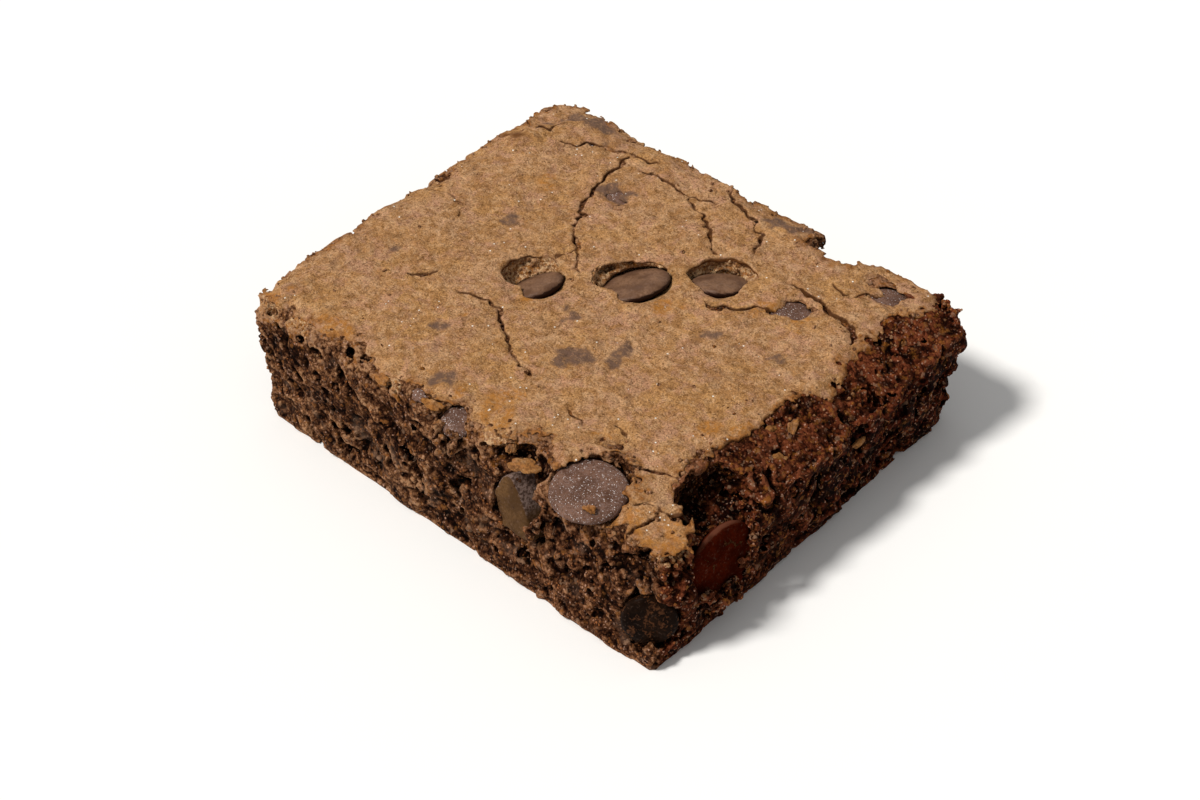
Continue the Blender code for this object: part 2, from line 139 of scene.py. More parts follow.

# The pits in the crust, whose torn walls are golden and painted lighter as painted light, other places
# where the crumb browned, and places where the crust swells: (x, y, reach, rise).
PITS = ((-14.2, -1.2, 5.5), (-2.3, 7.2, 6.5), (7.2, 16.4, 6.2))
BROWNED = (
    (-38.6, -31, 3.8), (-30.8, -31.8, 2.2), (7, -30.8, 2.8), (36.6, -29.8, 3.6), (30.6, -32, 2.6),
    (-12.4, -32, 2), (20.6, -24.6, 1.8),
)
SWELLS = (
    (-37.4, 21, 3.4, 0.9), (-33.4, 30.4, 3.6, 0.4), (26, 22.6, 5, 0.3), (11, 31, 3, 0.3),
    (38.8, -30, 3, -0.3), (31, -25.4, 3, 0.25), (-4, 13.4, 3.6, -0.3),
)

# Chips whose whole face shows, and how far the crumb is cleared from in front of each.
CLEARED = (
    ("chip_right_side", (1.3, -0.8, 1.4)), ("chip_cut_side", (-0.5, -0.8, 0.3)),
    ("chip_near_edge", (0.1, -0.2, 0.9)), ("chip_near_corner", (0.5, -0.6, -1)),
)

# The crumb's lumps and the webs between its bubbles, as (size, height), and what is joined to it or cut
# from it, in turn, down to a height. Where the knife smeared it, it is smoother by a share.
Scatter = namedtuple("Scatter", "radii each_cm2 sink cut lowest")
LUMPS = ((5, 0.32), (2.2, 0.26))
WEBS = ((2.6, 0.2), (1.1, 0.1))
GRAIN = ((0.7, 0.05), (0.45, 0.06))
SMEARED = 0.8
TEARS = (
    Scatter((0.9, 1.9), 6, (0, 0.6), False, 0.4),
    Scatter((0.6, 1.7), 8, (-0.4, 0.6), True, 2.4),
    Scatter((0.35, 0.8), 26, (0.1, 0.45), False, 0.4),
    Scatter((0.25, 0.6), 24, (-0.2, 0.2), True, 2.4),
    Scatter((0.16, 0.4), 620, (0.02, 0.22), False, 0.4),
)

# The knife's strokes on the sides and the slots that it drew open, as (length, narrowing, depth), and the
# lean of both on the sides along X and along Y.
Stroke = namedtuple("Stroke", "length narrowing depth")
STROKES = Stroke(3.6, 4, 0.2)
SLOTS = Stroke(2.1, 2, 1.3)
STROKE_LEANS = (-31, 70)
FOOT = 0.8

# Ragged caves in the cut sides, and crumb that clings in front of the chips, under the hanging plate and
# at the far right corner: (x, y, z, reach).
CAVES = (
    (-28.2, -33.6, 17, 0.9), (-24.8, -33.6, 12.9, 1.2), (-19.8, -33.4, 16, 0.9), (-23.6, -33.6, 9.6, 0.8),
    (-31.2, -33.6, 9.6, 0.9), (-14.4, -33.8, 8, 1), (1.8, -34, 7.6, 1.3), (-4, -33.8, 9.6, 0.8),
    (24.4, -34.2, 9.6, 1.2), (28.4, -34.4, 4.2, 1.4), (20.4, -34, 5.4, 0.9), (9.4, -34, 8, 0.9),
    (38.6, -8.6, 15.4, 1.8), (38.8, -3, 6.2, 1.6), (39, -0.2, 11.6, 1.4), (39, 7.4, 15.6, 1.5),
    (39, 9.4, 13.6, 1.2), (38.8, -11.8, 6.4, 1.3), (39.2, 14.2, 14.8, 1.6), (39, 20.4, 7, 1.3),
    (39.2, 27, 10, 1.6), (38.8, 16, 5.4, 1.2), (39, 24.2, 14.6, 1.2), (38.8, 3.2, 8.4, 1),
    (38.6, 22.6, 9, 2), (38.6, 11, 10.6, 1.8), (38.8, -12.6, 12.4, 1.2), (38.8, 28.6, 5.4, 1.4),
    (5.2, -33.2, 17.2, 1.8), (38.6, -5.6, 12.6, 1.6), (38.8, 3.6, 13.6, 1.5), (38.6, -8.8, 10, 1.4),
)
CLINGING = (
    (16.2, -33, 10.6, 1.5), (16.9, -32.8, 12.6, 1), (39.9, -16.6, 8.6, 2.2), (40, -19.6, 6.2, 2.4),
    (39.9, -15, 11.6, 1.4), (39.8, -23, 6, 1.6), (35.7, -34.2, 9.8, 1.5), (38, -33.4, 8.6, 1.2),
    (33.2, -34.2, 7.4, 0.9), (19.4, -31.4, 18.4, 0.8), (-1.6, -32.2, 18, 1.1), (1.2, -32.2, 18, 1),
    (39.9, -22.6, 6, 2), (39.9, -19, 5.8, 2), (39.9, -16.2, 7.2, 1.8), (39.9, -24.6, 8.2, 1.5),
    (40, -20.8, 6.8, 1.8), (40.2, -15.6, 12, 0.9), (37.6, -33.8, 10.4, 1.4), (39.4, -32.6, 8.4, 1.3),
    (37.6, 32.4, 18.2, 1.8), (38.6, 31, 17.4, 1.6), (36.4, 33, 18.4, 1.6), (35.2, 33.4, 18.4, 1.6),
    (34, 33.5, 18.5, 1.5), (39.8, -32.4, 5.4, 1.2), (37.4, -28.2, 15.8, 1.6), (36.2, -29.6, 15.4, 1.8),
    (34.4, -31.2, 15.4, 1.6), (37.8, -26.2, 15.6, 1.4), (32, -31.8, 15.6, 1.4), (-0.4, -33, 16.2, 1.6),
    (-2, -32.8, 16.6, 1.2), (1.4, -32.8, 16.6, 1.2),
)
LOOSE_CRUMBS = 620
SIDE_SHRINK = 0.1
GRAIN_FACETS = 9

# Flakes of crust and shards of chocolate that lie on the edges: place in the frame, radii, how far each
# leans, towards where, and how amber it is.
FLAKES = (
    ((12.6, -30.3, 18.7), (1.3, 2, 0.3), 6, -60, 0.3),
    ((24.9, -31.1, 19.5), (0.6, 0.8, 0.35), 8, -60, 0.8),
    ((-4, -30.9, 19.9), (0.8, 1.6, 0.26), 12, -86, 1),
    ((-13.3, -31.5, 19.4), (0.7, 1.4, 0.28), 25, -90, 0.8),
    ((9.1, -29.2, 18.9), (0.7, 0.9, 0.3), 30, 20, 0.5),
    ((32.9, -3.4, 19.2), (0.6, 0.8, 0.3), 40, 10, 0.8),
    ((35.3, -9.6, 17.6), (0.6, 1, 0.25), 60, 0, 0.9),
    ((39.2, 9, 12), (0.5, 2, 0.26), 78, -6, 0.9),
    ((39.1, 12.4, 13), (0.5, 0.8, 0.26), 70, -10, 0.9),
    ((36.2, -5.8, 17.4), (0.8, 1.2, 0.26), 45, -10, 0.8),
    ((34.4, -0.6, 18.6), (0.7, 1.3, 0.24), 30, 8, 0.9),
)
SHARDS = (
    ((-6.7, -30.6, 19.6), (0.8, 1.5, 0.3), 15, -90, 0),
    ((17.2, -27.6, 18.9), (0.6, 0.8, 0.3), 30, -60, 0),
)

# The crumb's quarters: name, the axis that the side runs along, and which way it faces.
SIDES = (("near", 0, -1), ("right", 1, 1), ("far", 0, 1), ("left", 1, -1))

CAMERA_PLACE = (165.57, -186.36, 232.35)
CAMERA_AZIMUTH = 41.807
CAMERA_ELEVATION = 42.745
CAMERA_LENS = 69
CAMERA_SENSOR = 36

KEY_FROM = (-0.42, -0.7, 1.15)
KEY_POWER = 3.1
KEY_SPREAD = 12
FILL_POWER = 0.36

rng = np.random.default_rng(20)


class Grid:
    """A box of even samples. Its first one is at the index low, counted in voxels from the origin."""

    def __init__(self, low, high, voxel):
        self.voxel = voxel
        self.low = np.floor(np.array(low) / voxel).astype(int)
        self.shape = tuple(np.ceil(np.array(high) / voxel).astype(int) - self.low + 1)

    def axis(self, n):
        return ((np.arange(self.shape[n]) + self.low[n]) * self.voxel).astype(np.float32)

    def sample(self, values, points):
        """The values at points in millimetres, blended between samples. A plan is read by X and Y."""
        at = points[:, : values.ndim] / self.voxel - self.low[: values.ndim]
        top = np.array(values.shape) - 2
        base = np.clip(np.floor(at).astype(int), 0, top)
        part = np.clip(at - base, 0, 1)
        total = np.zeros(len(points))
        for corner in np.ndindex(*(2,) * values.ndim):
            share = np.prod(np.where(corner, part, 1 - part), axis=1)
            total += share * values[tuple((base + corner).T)]
        return total


def smooth(value, low, high):
    held = np.clip((value - low) / (high - low), 0, 1)
    return held * held * (3 - 2 * held)


def spline_weights(places, cells):
    """How much each cell of a lattice gives to each place, as a matrix of cubic weights."""
    base = np.floor(places).astype(int)
    t = places - base
    shares = ((1 - t) ** 3, 3 * t**3 - 6 * t**2 + 4, -3 * t**3 + 3 * t**2 + 3 * t + 1, t**3)
    matrix = np.zeros((len(places), cells), np.float32)
    for n, share in enumerate(shares):
        matrix[np.arange(len(places)), base + n] = share / 6
    return matrix


def noise(grid, size, axes=3):
    """Smooth random values over a grid or its plan, with a spread of 1, in lumps of a given size."""
    weights = []
    for n in range(axes):
        places = np.arange(grid.shape[n]) * grid.voxel / size
        weights.append(spline_weights(places, int(places[-1]) + 5))
    values = rng.standard_normal([w.shape[1] for w in weights]).astype(np.float32)
    for n in range(axes - 1, -1, -1):
        values = np.moveaxis(np.tensordot(weights[n], values, axes=(1, n)), 0, n)
    return (values / values.std()).astype(np.float32)


def blur(values, voxels):
    """A box blur, voxels to each side, along every axis."""
    for n in range(values.ndim):
        padding = [(0, 0)] * values.ndim
        padding[n] = (voxels + 1, voxels)
        total = np.cumsum(np.pad(values, padding, mode="edge"), axis=n, dtype=np.float64)
        width = 2 * voxels + 1
        ahead = np.take(total, range(width, total.shape[n]), axis=n)
        behind = np.take(total, range(total.shape[n] - width), axis=n)
        values = ((ahead - behind) / width).astype(np.float32)
    return values


def rows_of(items, name, kind=np.float32):
    """A mesh's values of one name, three to a row."""
    values = np.empty(len(items) * 3, kind)
    items.foreach_get(name, values)
    return values.reshape(-1, 3)


def cad_mesh(node):
    """The points of a CAD node, in millimetres, and its triangles."""
    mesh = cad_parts[node].data
    mesh.calc_loop_triangles()
    points = np.round(rows_of(mesh.vertices, "co") / MM, 4)
    points, index = np.unique(points, axis=0, return_inverse=True)
    return points, index.reshape(-1)[rows_of(mesh.loop_triangles, "vertices", np.int32)]


def distances(grid, points, triangles):
    """Signed distance to a closed mesh at each sample, cut off at the band's width."""
    level = vdb.FloatGrid.createLevelSetFromPolygons(
        points.astype(np.float32), triangles=triangles.astype(np.uint32), halfWidth=BAND_VOXELS,
        transform=vdb.createLinearTransform(voxelSize=grid.voxel),
    )
    values = np.empty(grid.shape, np.float32)
    level.copyToArray(values, ijk=tuple(int(n) for n in grid.low))
    return values


def surface_of(grid, values):
    """The zero surface of a volume, as points in millimetres and triangles."""
    edge = 3 * grid.voxel
    level = vdb.FloatGrid(edge)
    level.transform = vdb.createLinearTransform(voxelSize=grid.voxel)
    level.copyFromArray(np.clip(values, -edge, edge), ijk=tuple(int(n) for n in grid.low))
    level.gridClass = vdb.GridClass.LEVEL_SET
    points, triangles, quads = level.convertToPolygons(isovalue=0.0, adaptivity=0.0)
    halves = [quads[:, (0, 1, 2)], quads[:, (0, 2, 3)]]
    faces = np.concatenate([triangles.reshape(-1, 3), *halves]).astype(np.int32)
    corners = points[faces].astype(np.float64)
    turned = np.einsum("ij,ij->i", corners[:, 0], np.cross(corners[:, 1], corners[:, 2])).sum()
    return points, faces if turned > 0 else faces[:, ::-1]


def sound_parts(points, faces, fewest):
    """Leaves out loose scraps: the parts of a mesh with fewer triangles than fewest."""
    label = np.arange(len(points))
    one, two = np.concatenate([faces[:, :2], faces[:, 1:]]).T
    while True:
        lower = np.minimum(label[one], label[two])
        joined = label.copy()
        np.minimum.at(joined, label[one], lower)
        np.minimum.at(joined, label[two], lower)
        while not np.array_equal(joined, joined[joined]):
            joined = joined[joined]
        if np.array_equal(joined, label):
            break
        label = joined
    sizes = np.bincount(label[faces[:, 0]], minlength=len(points))
    kept = faces[sizes[label[faces[:, 0]]] >= fewest]
    used, index = np.unique(kept, return_inverse=True)
    return points[used], index.reshape(-1, 3)


def mesh_from(name, points, faces):
    mesh = bpy.data.meshes.new(name)
    mesh.vertices.add(len(points))
    mesh.vertices.foreach_set("co", (points * MM).astype(np.float32).ravel())
    mesh.loops.add(faces.size)
    mesh.loops.foreach_set("vertex_index", faces.astype(np.int32).ravel())
    mesh.polygons.add(len(faces))
    mesh.polygons.foreach_set("loop_start", np.arange(0, faces.size, 3, dtype=np.int32))
    mesh.update(calc_edges=True)
    mesh.validate()
    return mesh


def placed(name, data):
    made = bpy.data.objects.new(name, data)
    bpy.context.scene.collection.objects.link(made)
    return made


def piece_from(name, points, faces, material, most=CRUMB_TRIANGLES, flat=False):
    """A shown piece from a mesh, thinned to at most a number of triangles."""
    piece = placed(name, mesh_from(name, points, faces))
    if len(faces) > most:
        thin = piece.modifiers.new("thin", "DECIMATE")
        thin.ratio = most / len(faces)
        graph = bpy.context.evaluated_depsgraph_get()
        thinned = bpy.data.meshes.new_from_object(piece.evaluated_get(graph))
        piece.modifiers.clear()
        piece.data = thinned
    piece.data.materials.append(material)
    if flat:
        piece.data.shade_flat()
    else:
        piece.data.shade_smooth()
    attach(piece, "root")
    return piece


def points_of(piece):
    return rows_of(piece.data.vertices, "co") / MM


def give(piece, **layers):
    """Stores values at the vertices, one or one for each, which the materials read by name."""
    for name, values in layers.items():
        layer = piece.data.attributes.new(name, "FLOAT", "POINT")
        full = np.broadcast_to(np.float32(values), len(piece.data.vertices))
        layer.data.foreach_set("value", np.ascontiguousarray(full))


def random_turn():
    return np.linalg.qr(rng.standard_normal((3, 3)))[0]


def stamp(grid, values, tone, centre, radius, cut):
    """Joins a broken, faceted grain to a volume, and its shade to tone, or cuts its shape out."""
    at = centre / grid.voxel - grid.low
    reach = radius * 1.1 / grid.voxel + 1
    first = np.clip(np.floor(at - reach).astype(int), 0, None)
    last = np.minimum(np.ceil(at + reach).astype(int) + 1, grid.shape)
    if np.any(last <= first):
        return
    box = tuple(slice(a, b) for a, b in zip(first, last))
    steps = [(np.arange(a, b) - middle) * grid.voxel for a, b, middle in zip(first, last, at)]
    offsets = np.stack(np.meshgrid(*steps, indexing="ij"), axis=-1)
    squash = rng.uniform(0.5, 1, 3)
    planes = rng.standard_normal((3, GRAIN_FACETS))
    planes /= np.linalg.norm(planes, axis=0)
    turned = offsets @ random_turn() / squash
    facets = (turned @ planes - radius * rng.uniform(0.5, 0.95, GRAIN_FACETS)).max(axis=-1)
    distance = np.maximum(facets, np.linalg.norm(turned, axis=-1) - radius) * squash.min()
    if cut:
        values[box] = np.maximum(values[box], -distance)
        return
    wins = distance < values[box]
    values[box][wins] = distance[wins]
    tone[box][wins] = rng.uniform(-1, 1)


def clustered(grid, values, tone, clusters, cut):
    """Joins or cuts clusters of grains, given by their middles and how far each reaches."""
    for *centre, reach in clusters:
        for _ in range(int(16 * reach)):
            place = np.array(centre) + rng.standard_normal(3) * (0.25, 0.25, 0.45) * reach
            stamp(grid, values, tone, place, rng.uniform(0.35, 0.8), cut)


def scattered(points, triangles, each_cm2):
    """Random places on a mesh, so many to a square centimetre, and the way out at each."""
    corners = points[triangles]
    normals = np.cross(corners[:, 1] - corners[:, 0], corners[:, 2] - corners[:, 0])
    areas = np.linalg.norm(normals, axis=1) / 2
    count = int(areas.sum() / 100 * each_cm2)
    chosen = rng.choice(len(triangles), count, p=areas / areas.sum())
    a, b = rng.random((2, count, 1))
    over = a + b > 1
    a, b = np.where(over, 1 - a, a), np.where(over, 1 - b, b)
    found = corners[chosen, 0] * (1 - a - b) + corners[chosen, 1] * a + corners[chosen, 2] * b
    return found, normals[chosen] / (2 * areas[chosen, None] + 1e-9)


def plan_grid_points(grid, *warp):
    """Each plan sample's place, pushed about so that straight routes come out ragged."""
    x = grid.axis(0)[:, None] - PLAN_SHIFT[0] + np.zeros((1, grid.shape[1]))
    y = grid.axis(1)[None, :] - PLAN_SHIFT[1] + np.zeros((grid.shape[0], 1))
    for size, push in warp:
        x = x + push * noise(grid, size, 2)
        y = y + push * noise(grid, size, 2)
    return x, y


def jagged(route):
    """A route that turns sharply to and fro between its points, as a crack runs."""
    points = [np.array(route[0])]
    for start, end in zip(route, route[1:]):
        step = np.subtract(end, start)
        length = math.hypot(*step)
        aside = np.array((-step[1], step[0])) / length
        count = max(1, round(length / CRACK_STEP))
        sways = rng.uniform(-CRACK_SWAY, CRACK_SWAY, count - 1)
        points += [start + step * n / count + aside * sway for n, sway in enumerate(sways, 1)]
        points.append(np.array(end))
    return points


def route_distance(x, y, route):
    """Distance in plan to a line of points, and the share of the way along it."""
    route = np.array(route)
    lengths = np.linalg.norm(np.diff(route, axis=0), axis=1)
    nearest, along = np.full(x.shape, 1e9), np.zeros(x.shape)
    for n, (start, end) in enumerate(zip(route, route[1:])):
        step = end - start
        share = np.clip(((x - start[0]) * step[0] + (y - start[1]) * step[1]) / (step @ step), 0, 1)
        gap = np.hypot(x - start[0] - share * step[0], y - start[1] - share * step[1])
        closer = gap < nearest
        nearest = np.where(closer, gap, nearest)
        along = np.where(closer, (lengths[:n].sum() + share * lengths[n]) / lengths.sum(), along)
    return nearest, along


def outline_distance(x, y, outline):
    """Distance in plan to a closed outline, negative inside."""
    ring = (*outline, outline[0])
    inside = np.zeros(x.shape, bool)
    for (x0, y0), (x1, y1) in zip(ring, ring[1:]):
        if y0 != y1:
            inside ^= ((y0 > y) != (y1 > y)) & (x < x0 + (y - y0) * (x1 - x0) / (y1 - y0))
    gap = route_distance(x, y, ring)[0]
    return np.where(inside, -gap, gap)


def cover_map(x, y, ragged):
    """Plan distance into the openings over the covered chips, and how much the crust is raised there."""
    opening, rise = np.full(x.shape, -FAR), np.zeros(x.shape)
    for chip_x, chip_y, reach, shown in COVERED.values():
        gap = np.hypot(x - chip_x, y - chip_y)
        opening = np.maximum(opening, shown - gap + 0.55 * ragged)
        rise = np.maximum(rise, smooth(reach - gap, 0, 2.5))
    return opening, rise


def mark_map(x, y, marks, ragged):
    """Where marks lie in plan: 1 in the middle of each and 0 past its ragged edge."""
    found = np.zeros(x.shape)
    for mark_x, mark_y, reach in marks:
        gap = np.hypot(x - mark_x, y - mark_y) / reach + 0.28 * ragged
        found = np.maximum(found, smooth(1.15 - gap, 0, 0.35))
    return found


def leaning_noise(grid, axis, stroke):
    """Noise drawn out along the knife's way over the sides that run along an axis, over that axis and Z."""
    lean = math.radians(STROKE_LEANS[axis])
    across, up = np.meshgrid(grid.axis(axis), grid.axis(2), indexing="ij")
    along = across * math.cos(lean) + up * math.sin(lean)
    aside = up * math.cos(lean) - across * math.sin(lean)
    reach = 60 * stroke.narrowing
    table = Grid((-reach, -60), (reach, 60), 0.5)
    places = np.stack([aside.ravel() * stroke.narrowing, along.ravel()], axis=1)
    return table.sample(noise(table, stroke.length, 2), places).reshape(along.shape).astype(np.float32)


def side_pattern(grid, stroke):
    """The knife's marks on all four sides, over the whole grid."""
    side_x = smooth(np.abs(grid.axis(1)), 27, 32)[None, :, None]
    side_y = smooth(np.abs(grid.axis(0)), 32, 37)[:, None, None]
    across_x, across_y = (leaning_noise(grid, axis, stroke) for axis in (0, 1))
    return side_x * across_x[:, None, :] + side_y * across_y[None, :, :]


def top_level(grid, slab):
    """The height of the CAD slab's top over the plan, and the level of sound crust across its holes."""
    z = grid.axis(2)
    solid = slab < 0
    last = grid.shape[2] - 1 - np.argmax(solid[:, :, ::-1], axis=2)
    last = np.clip(last, 0, grid.shape[2] - 2)
    rows, columns = np.indices(last.shape)
    inner, outer = slab[rows, columns, last], slab[rows, columns, last + 1]
    height = z[last] + grid.voxel * np.clip(inner / (inner - outer - 1e-9), 0, 1)
    height = np.where(solid.any(axis=2), height, -FAR)
    sound = (height > TOP_FROM).astype(np.float32)
    for drop in (0.9, 0.45, 0.3):
        level = blur(height * sound, 8) / (blur(sound, 8) + 1e-4)
        level = np.where(blur(sound, 8) > 0.02, level, np.median(height[sound > 0]))
        sound = ((height > level - drop) & (height > TOP_FROM)).astype(np.float32)
    level = blur(height * sound, 5) / (blur(sound, 5) + 1e-4)
    wide = blur(height * sound, 24) / (blur(sound, 24) + 1e-4)
    return height, np.where(blur(sound, 5) > 0.04, level, wide)


def crust_maps(grid, height, level):
    """Everything that the crust needs to know of the plan, by name."""
    x, y = plan_grid_points(grid, (2.2, 0.55), (0.8, 0.42))
    maps = {"edge": outline_distance(x, y, CRUST_OUTLINE) + 0.42 * np.abs(noise(grid, 0.6, 2))}
    fray = noise(grid, 0.8, 2)
    openness = 0.55 + 0.45 * smooth(noise(grid, 2.2, 2), -1.5, 0.6)
    crack = np.full(x.shape, -FAR)
    bent_x, bent_y = plan_grid_points(grid, (1.5, 0.16), (0.55, 0.15))
    for width, route in CRACKS:
        gap, along = route_distance(bent_x, bent_y, jagged(route))
        taper = np.clip(np.minimum(along, 1 - along) * 6 + 0.25, 0, 1)
        crack = np.maximum(crack, CRACK_WIDTH * width * taper * openness / 2 - gap + 0.05 * fray)
    maps["crack"] = crack
    ragged = noise(grid, 1.3, 2)
    sunken = ((level - height) > 0.45).astype(np.float32)
    wide = (blur(sunken, 3) - 0.62) * 7 * grid.voxel
    opening, maps["rise"] = cover_map(x, y, ragged)
    maps["hole"] = np.where(maps["rise"] > 0, opening, wide + 0.1 * fray)
    maps["stain"] = mark_map(x, y, STAINS, ragged)
    maps["amber"] = mark_map(x, y, AMBERS, ragged)
    maps["glint"] = mark_map(x, y, GLINTS, ragged)
    return maps


def crust_relief(grid, maps):
    """How far the crust stands above its level: slow waves, grain, flaked steps and lifted lips."""
    relief = 0.1 * noise(grid, 6.0, 2) + 0.06 * noise(grid, 2.2, 2) + 0.04 * noise(grid, 0.8, 2)
    relief += 0.07 * (np.abs(noise(grid, 1.5, 2)) - 0.8) + 0.05 * (np.abs(noise(grid, 0.8, 2)) - 0.8)
    flaked = smooth(noise(grid, 2.6, 2) + 0.25 * noise(grid, 0.9, 2), 0.55, 0.7)
    near_edge = smooth(maps["edge"], -5.5, -0.5)
    relief += COVER_RISE * maps["rise"] - 0.26 * flaked * (0.2 + 0.8 * near_edge)
    relief -= 0.55 * smooth(maps["hole"], -2.0, 0.0) * (maps["rise"] > 0)
    lips = np.maximum(np.exp(-((maps["crack"] / 0.9) ** 2)), np.exp(-((maps["edge"] / 1.2) ** 2)))
    relief += 0.1 * lips * smooth(noise(grid, 3.0, 2), -0.8, 1.2)
    x, y = plan_grid_points(grid)
    for swell_x, swell_y, reach, rise in SWELLS:
        relief += rise * np.exp(-((x - swell_x) ** 2 + (y - swell_y) ** 2) / reach**2)
    pits = smooth(noise(grid, 0.55, 2), 1.5, 2.4) * smooth(noise(grid, 6.0, 2), -0.6, 0.8)
    groove = smooth(maps["crack"], -0.22, 0.06)
    return relief - 0.22 * pits - 0.24 * groove


def build_crust(slab_mesh, chips, material):
    low, high = slab_mesh[0].min(0), slab_mesh[0].max(0)
    grid = Grid((*low[:2] - 1.5, high[2] - 8), high + 1.5, CRUST_VOXEL)
    slab = distances(grid, *slab_mesh)
    height, level = top_level(grid, slab)
    x, y = plan_grid_points(grid)
    hangs = np.hypot(x - HANGING[0], y - HANGING[1]) < HANGING[2]
    outward = (x - HANGING_START[0] - y + HANGING_START[1]) / math.sqrt(2)
    level = np.maximum(level, np.where(hangs, HANGING_TOP - HANGING_FALL * outward, 0))
    maps = crust_maps(grid, height, level)
    maps["hole"] = np.where(hangs, -FAR, maps["hole"])
    relief = crust_relief(grid, maps)
    thickness = CRUST_THICKNESS * (0.42 + 0.58 * smooth(-maps["edge"], 0, 2.5))
    top = (level + relief)[:, :, None]
    z = grid.axis(2)[None, None, :]
    shell = np.maximum(z - top, top - relief[:, :, None] - thickness[:, :, None] - z)
    plan_cut = np.maximum(np.maximum(maps["edge"], maps["crack"] - 0.04), maps["hole"])
    shell = np.maximum(shell, plan_cut[:, :, None] + 0.1 * noise(grid, 0.7) + 0.05 * noise(grid, 0.4))
    covers = (maps["rise"] > 0) & (maps["edge"] < -1.4) | hangs
    shell = np.maximum(shell, slab - 0.55 + 0.12 * noise(grid, 1.2) - FAR * covers[:, :, None])
    for name, chip in chips.items():
        if name not in COVERED:
            shell = np.maximum(shell, 0.1 - distances(grid, *chip))
    points, faces = sound_parts(*surface_of(grid, shell.astype(np.float32)), CRUST_SCRAP)
    piece = piece_from("crust", points, faces, material, CRUST_TRIANGLES)
    where = points_of(piece)
    read = {key: grid.sample(maps[key], where) for key in ("edge", "crack", "stain", "amber", "glint")}
    give(piece, below=grid.sample(level + relief, where) - where[:, 2], **read)
    return piece


def build_crumb(slab_mesh, chips, material):
    low, high = slab_mesh[0].min(0), slab_mesh[0].max(0)
    grid = Grid(low - 1.6, high + 1.6, CRUMB_VOXEL)
    slab = distances(grid, *slab_mesh)
    height, level = top_level(grid, slab)
    x, y = plan_grid_points(grid)
    edge = outline_distance(x, y, CRUST_OUTLINE)
    z = grid.axis(2)[None, None, :]
    sheltered = (smooth(-edge, 0.4, 1.6) * smooth(height - level, -0.6, -0.2))[:, :, None]
    sheltered = sheltered * smooth(z, high[2] - 5, high[2] - 2.6)
    base = smooth(z, 0.0, 0.8)
    free = (1 - sheltered) * base
    pits = mark_map(x, y, PITS, 0)[:, :, None]
    torn = np.maximum(smooth(x, 30, 37)[:, :, None], pits)
    rough = 1 - SMEARED * (1 - 0.8 * torn) * smooth(noise(grid, 4.0), -1.2, 0.4)

    values = slab + SIDE_SHRINK * free
    for size, push in LUMPS:
        values = values + push * free * np.clip(noise(grid, size), -1.4, 2.0)
    for size, push in WEBS:
        values = values + push * free * rough * np.clip(np.abs(noise(grid, size)) - 0.6, -0.6, 1.3)
    streak = side_pattern(grid, STROKES)
    slots = smooth(side_pattern(grid, SLOTS) + 0.35 * noise(grid, 0.8), 1.0, 1.5)
    cuts = STROKES.depth * streak + SLOTS.depth * (1 - 0.4 * torn) * slots
    values = values + (free * cuts).astype(np.float32)
    sink = EDGE_SINK + (CRUST_SINK - EDGE_SINK) * smooth(-edge, 0.3, 2.0)
    values = np.maximum(values, z - (level - sink)[:, :, None])

    tone = 0.3 * noise(grid, 3.0)
    for tear in TEARS:
        found, outward = scattered(*slab_mesh, tear.each_cm2)
        shelter = grid.sample(sheltered[:, :, -1], found) * (found[:, 2] > high[2] - 4)
        kept = (outward[:, 2] > -0.8) & (shelter < 0.5) & (found[:, 2] > tear.lowest)
        kept &= rng.random(len(found)) < grid.sample(rough, found)
        found, outward = found[kept], outward[kept]
        for _ in range(2):
            found = found - outward * np.clip(grid.sample(values, found), -1.5, 1.5)[:, None]
        small, large = tear.radii
        sizes = small + (large - small) * rng.random(len(found)) ** 2.2
        sinks = rng.uniform(*tear.sink, len(found))
        for centre, radius in zip(found - outward * sinks[:, None], sizes):
            stamp(grid, values, tone, centre, radius, tear.cut)
    for size, push in GRAIN:
        values = values + push * free * noise(grid, size)
    clustered(grid, values, tone, CAVES, True)
    foot = np.maximum(slab + 0.3 + 0.15 * noise(grid, 1.2), z - FOOT)
    values = np.maximum(np.minimum(values, foot), slab - 0.35)
    values = np.maximum(values, z - (level - 0.2)[:, :, None])
    values = np.maximum(values, -z)
    frayed = 0.12 * noise(grid, 0.8)
    for name, way in CLEARED:
        points, faces = chips[name]
        values = np.maximum(values, frayed - distances(grid, points + way, faces))
    clustered(grid, values, tone, CLINGING, False)
    for chip in chips.values():
        values = np.maximum(values, 0.04 - distances(grid, *chip))
    solid = (values < 0).astype(np.float32)
    # relief and shut say how much solid lies near each point and wider round it; the crumb material paints
    # shade into the hollows from them.
    maps = {
        "relief": blur(blur(solid, 2), 2), "shut": blur(blur(solid, 7), 7), "tone": tone, "streak": streak,
    }
    # Where the crumb is painted darker and redder: on the +X side this is painted shade, as crumb in shade
    # looks, and weakly all over, rising from x = -14 to x = 16.
    moist = smooth(x, 24, 33) * smooth(x + y, 3.6, 6.6) * (0.8 + 0.2 * smooth(y, -12, 6))
    moist = np.maximum(moist, 0.3 * smooth(x, -14, 16))
    maps["moist"] = (moist[:, :, None] + 0 * solid).astype(np.float32)
    # Golden where the crumb browned; in the pits this also paints the walls lighter, as painted light.
    golden_and_pit_light = np.maximum(1.6 * pits, 0.85 * mark_map(x, y, BROWNED, 0)[:, :, None])
    golden_and_pit_light = golden_and_pit_light * smooth(z, high[2] - 6.0, high[2] - 4)
    maps["baked"] = (smooth(z - level[:, :, None], -4.0, -0.6) + golden_and_pit_light).astype(np.float32)
    return [crumb_wedge(grid, values, maps, side, material) for side in SIDES]


